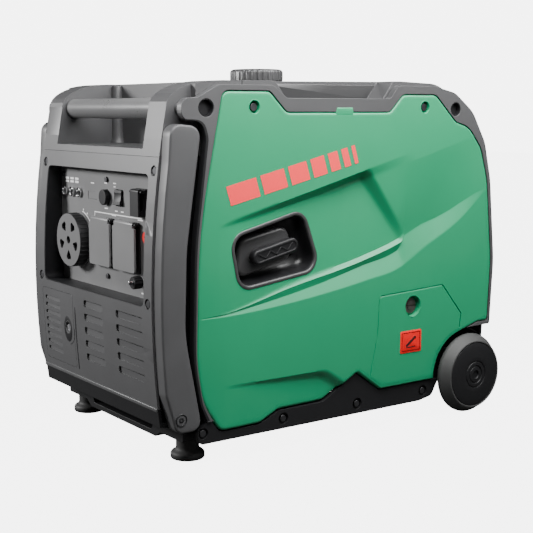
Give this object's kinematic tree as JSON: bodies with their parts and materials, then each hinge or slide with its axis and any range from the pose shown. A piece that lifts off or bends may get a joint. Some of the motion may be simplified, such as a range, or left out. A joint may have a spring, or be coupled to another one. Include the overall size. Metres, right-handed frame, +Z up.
{
  "type": "inverter generator",
  "caption": "Closed-case portable inverter generator with a carrying bar, recoil starter, control panel with dial and outlets, two wheels and two feet.",
  "frame": {"origin": "middle of the footprint, on the ground plane", "axes": "+Z up, control panel faces -Y, starter side faces +X"},
  "size_m": [0.472, 0.65, 0.565],
  "materials": {
    "case": "fine grained, satin",
    "black": "satin black",
    "green": "satin green",
    "rubber": "matt",
    "tyre": "matt",
    "steel": "bright",
    "painted": "satin grey",
    "alloy": "cast",
    "iron": "matt",
    "chrome": "polished",
    "copper": "varnished windings",
    "red": "gloss",
    "window": "gloss"
  },
  "bodies": {
    "case": {"base_tray": "black", "front_crossmember": "black", "front_skirt": "black", "feet": "rubber", "channel_liners": "black", "axle": "steel", "axle_brackets": "painted", "side_panel_right": "green", "side_panel_left": "green", "side_frame_right": "case", "side_frame_left": "case", "corner_cover_right": "case", "corner_cover_left": "case", "front_panel": "case", "top_cowl": "case", "top_cover": "case", "rear_cover": "case", "exhaust_outlet": "iron", "handle_tube": "painted", "handle_grip": "rubber", "control_plate": "case", "indicator_lamps": "chrome", "display_window": "window", "dc_outlet": "black", "mains_outlets": "black", "parallel_jacks": "red", "ground_stud": "chrome", "recoil_bezel": "black", "recoil_housing": "black", "fuel_tank": "black", "engine_block": "alloy", "stator": "copper", "muffler": "iron", "air_cleaner": "black", "carburettor": "alloy", "inverter_module": "alloy", "battery": "black", "case_screws": "steel"},
    "wheel_right": {"tyre_right": "tyre", "wheel_disc_right": "black"},
    "wheel_left": {"tyre_left": "tyre", "wheel_disc_left": "black"},
    "cap_seal": {"cap_gasket": "rubber"},
    "cap": {"fuel_cap": "case"},
    "dial": {"engine_dial": "black"},
    "start": {"start_button": "black"},
    "rocker": {"rocker_switch": "black"},
    "dc_flap": {"dc_cover": "black"},
    "outlet_flap_left": {"outlet_cover_left": "case"},
    "outlet_flap_right": {"outlet_cover_right": "case"},
    "earth_nut": {"ground_nut": "black"},
    "battery_cover": {"battery_door": "case"},
    "battery_catch": {"battery_latch": "steel"},
    "hatch": {"service_hatch": "green"},
    "hatch_catch": {"hatch_latch": "steel"},
    "starter_grip": {"recoil_grip": "black", "recoil_rope": "black"},
    "starter_pulley": {"recoil_pulley": "black"},
    "crank": {"crank_rotor": "steel"},
    "dipstick": {"oil_dipstick": "black"}
  },
  "joints": [
    {"name": "wheel_right_spin", "type": "hinge", "parent": "case", "child": "wheel_right", "pos_m": [0.22, 0.259, 0.066], "axis": [1, 0, 0], "continuous": true},
    {"name": "wheel_left_spin", "type": "hinge", "parent": "case", "child": "wheel_left", "pos_m": [-0.22, 0.259, 0.066], "axis": [1, 0, 0], "continuous": true},
    {"name": "fuel_cap_lift", "type": "slide", "parent": "case", "child": "cap_seal", "axis": [0, 0, 1], "range_m": [0, 0.08]},
    {"name": "fuel_cap_turn", "type": "hinge", "parent": "cap_seal", "child": "cap", "pos_m": [0, -0.019, 0.555], "axis": [0, 0, 1], "range_deg": [0, 180]},
    {"name": "dial_turn", "type": "hinge", "parent": "case", "child": "dial", "pos_m": [-0.098, -0.291, 0.298], "axis": [0, 1, 0], "range_deg": [0, 120]},
    {"name": "start_press", "type": "slide", "parent": "case", "child": "start", "axis": [0, 1, 0], "range_m": [0, 0.003], "stiffness_N_per_m": 800},
    {"name": "rocker_tilt", "type": "hinge", "parent": "case", "child": "rocker", "pos_m": [0.034, -0.289, 0.371], "axis": [1, 0, 0], "range_deg": [0, 18]},
    {"name": "dc_flap_open", "type": "hinge", "parent": "case", "child": "dc_flap", "pos_m": [0.104, -0.3016, 0.385], "axis": [-1, 0, 0], "range_deg": [0, 100]},
    {"name": "outlet_flap_left_open", "type": "hinge", "parent": "case", "child": "outlet_flap_left", "pos_m": [-0.0135, -0.298, 0.336], "axis": [-1, 0, 0], "range_deg": [0, 110], "stiffness_Nm_per_rad": 0.02},
    {"name": "outlet_flap_right_open", "type": "hinge", "parent": "case", "child": "outlet_flap_right", "pos_m": [0.0625, -0.298, 0.336], "axis": [-1, 0, 0], "range_deg": [0, 110], "stiffness_Nm_per_rad": 0.02},
    {"name": "earth_nut_turn", "type": "hinge", "parent": "case", "child": "earth_nut", "pos_m": [0.1, -0.301, 0.254], "axis": [0, 1, 0], "range_deg": [0, 360]},
    {"name": "battery_door_open", "type": "hinge", "parent": "case", "child": "battery_cover", "pos_m": [-0.1706, -0.3256, 0.158], "axis": [0, 0, -1], "range_deg": [0, 100]},
    {"name": "battery_catch_turn", "type": "hinge", "parent": "battery_cover", "child": "battery_catch", "pos_m": [-0.083, -0.32, 0.163], "axis": [0, 1, 0], "range_deg": [0, 90]},
    {"name": "hatch_pull", "type": "slide", "parent": "case", "child": "hatch", "axis": [1, 0, 0], "range_m": [0, 0.15]},
    {"name": "hatch_catch_turn", "type": "hinge", "parent": "hatch", "child": "hatch_catch", "pos_m": [0.2, 0.138, 0.19], "axis": [1, 0, 0], "range_deg": [0, 90]},
    {"name": "starter_pull", "type": "slide", "parent": "case", "child": "starter_grip", "axis": [1, 0, 0], "range_m": [0, 0.11], "stiffness_N_per_m": 20},
    {"name": "starter_pulley_turn", "type": "hinge", "parent": "case", "child": "starter_pulley", "pos_m": [0.155, -0.04, 0.225], "axis": [1, 0, 0], "range_deg": [0, 200]},
    {"name": "crank_turn", "type": "hinge", "parent": "case", "child": "crank", "pos_m": [0, -0.04, 0.225], "axis": [1, 0, 0], "continuous": true},
    {"name": "dipstick_turn", "type": "hinge", "parent": "case", "child": "dipstick", "pos_m": [0.08, 0.04, 0.112], "axis": [1, 0, 0], "range_deg": [0, 360]}
  ],
  "couplings": [
    {"joint": "starter_pulley_turn", "follows": "starter_pull", "rad_per_m": 31.25}
  ]
}
